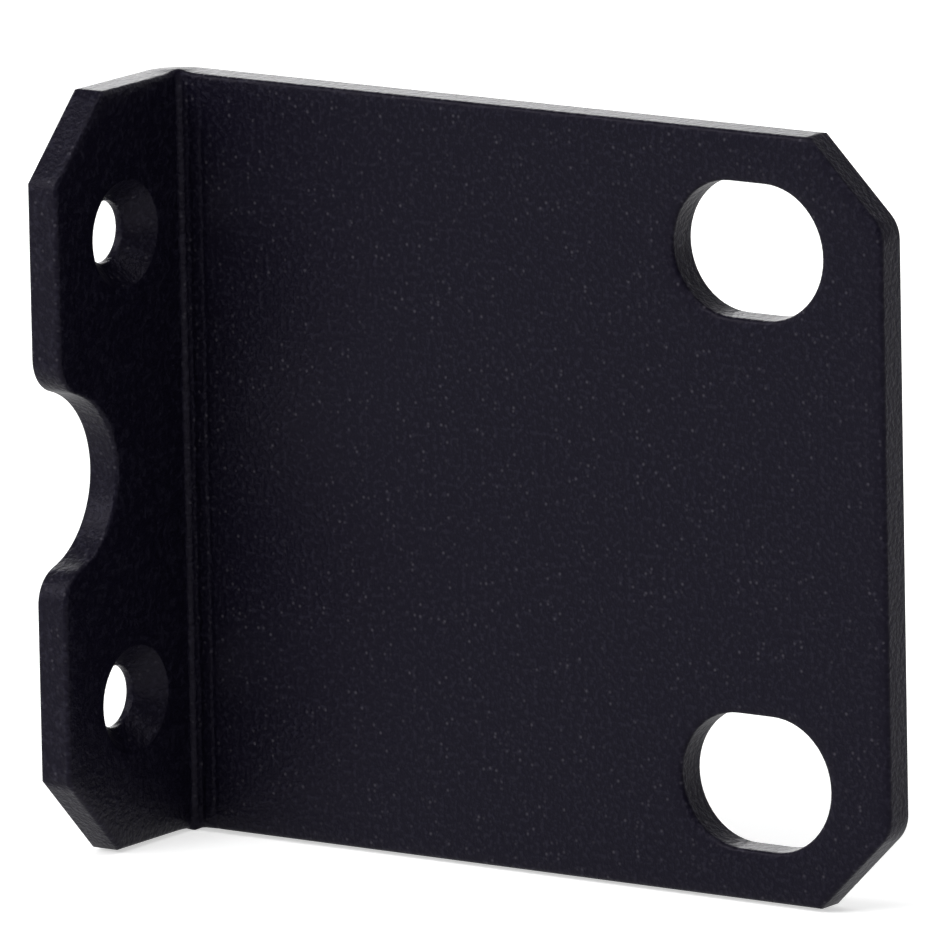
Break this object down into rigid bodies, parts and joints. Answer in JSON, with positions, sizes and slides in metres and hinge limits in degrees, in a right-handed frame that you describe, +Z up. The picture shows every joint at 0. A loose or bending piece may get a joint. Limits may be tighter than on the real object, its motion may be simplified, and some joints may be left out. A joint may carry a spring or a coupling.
{
  "type": "rack mount ear bracket",
  "caption": "Folded sheet steel ear with slots for the rack rail in its plate, and countersunk screw holes and a round notch in its short side flange.",
  "frame": {"origin": "midway between the centres of the two rack slots, on the plate's rear face, which seats on the rack rail", "axes": "+X along the plate to its outboard edge, +Y out of the rack's front, +Z up; the flange runs back along -Y at the plate's -X end"},
  "size_m": [0.0501, 0.014, 0.0444],
  "materials": {
    "powder_coat": "black powder coat with a fine texture, satin"
  },
  "bodies": {
    "root": {"ear_bracket": "powder_coat"}
  },
  "joints": []
}
